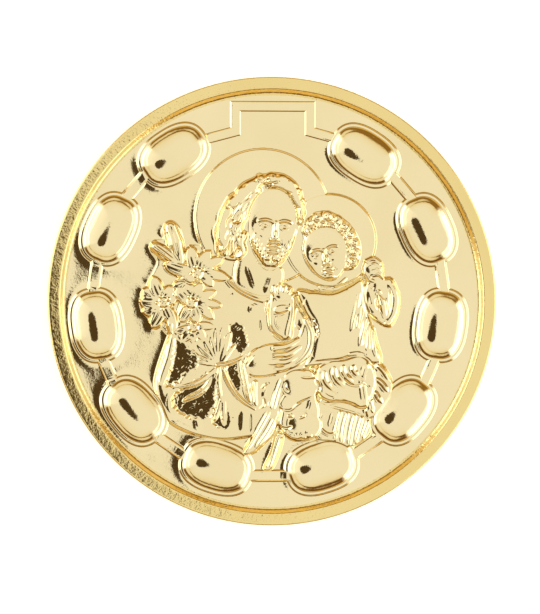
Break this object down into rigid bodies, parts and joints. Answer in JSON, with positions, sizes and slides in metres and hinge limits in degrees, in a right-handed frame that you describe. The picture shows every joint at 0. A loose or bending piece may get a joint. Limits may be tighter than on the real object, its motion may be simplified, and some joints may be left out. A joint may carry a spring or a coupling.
{
  "type": "devotional pocket token",
  "caption": "Round gold-plated pocket token with a raised rim, a ring of oval domed beads joined by flat links, and a haloed adult holding a child and lilies in relief.",
  "frame": {"origin": "centre of the reverse rim's resting plane, under the middle of the disc", "axes": "+Z out of the obverse face, +Y towards the top of the design (the stepped link), +X towards the viewer's right"},
  "size_m": [0.0322, 0.0322, 0.0027],
  "materials": {
    "field": "mirror-bright gold plate, faint orange peel",
    "rim": "bright gold plate, finely grained edge",
    "beads": "mirror-bright gold plate",
    "links": "mirror-bright gold plate",
    "haloes": "mirror-bright gold plate",
    "relief": "mirror-bright gold plate, fine tool marks in the hollows"
  },
  "bodies": {
    "root": {"blank": "field", "obverse_rim": "rim", "reverse_rim": "rim", "bead_01": "beads", "bead_02": "beads", "bead_03": "beads", "bead_04": "beads", "bead_05": "beads", "bead_06": "beads", "bead_07": "beads", "bead_08": "beads", "bead_09": "beads", "bead_10": "beads", "link_01": "links", "link_02": "links", "link_03": "links", "link_04": "links", "link_05": "links", "link_06": "links", "link_07": "links", "link_08": "links", "link_09": "links", "crown_link": "links", "adult_halo": "haloes", "child_halo": "haloes", "adult_head": "relief", "adult_hair": "relief", "adult_neck": "relief", "adult_robe": "relief", "adult_sleeve": "relief", "adult_hand": "relief", "supporting_hand": "relief", "child_head": "relief", "child_hair": "relief", "child_robe": "relief", "child_resting_arm": "relief", "child_raised_arm": "relief", "child_legs": "relief", "sleeve_folds": "relief", "skirt_folds": "relief", "sash_folds": "relief", "pleat": "relief", "lily_blossoms": "relief", "lily_leaves": "relief"}
  },
  "joints": []
}
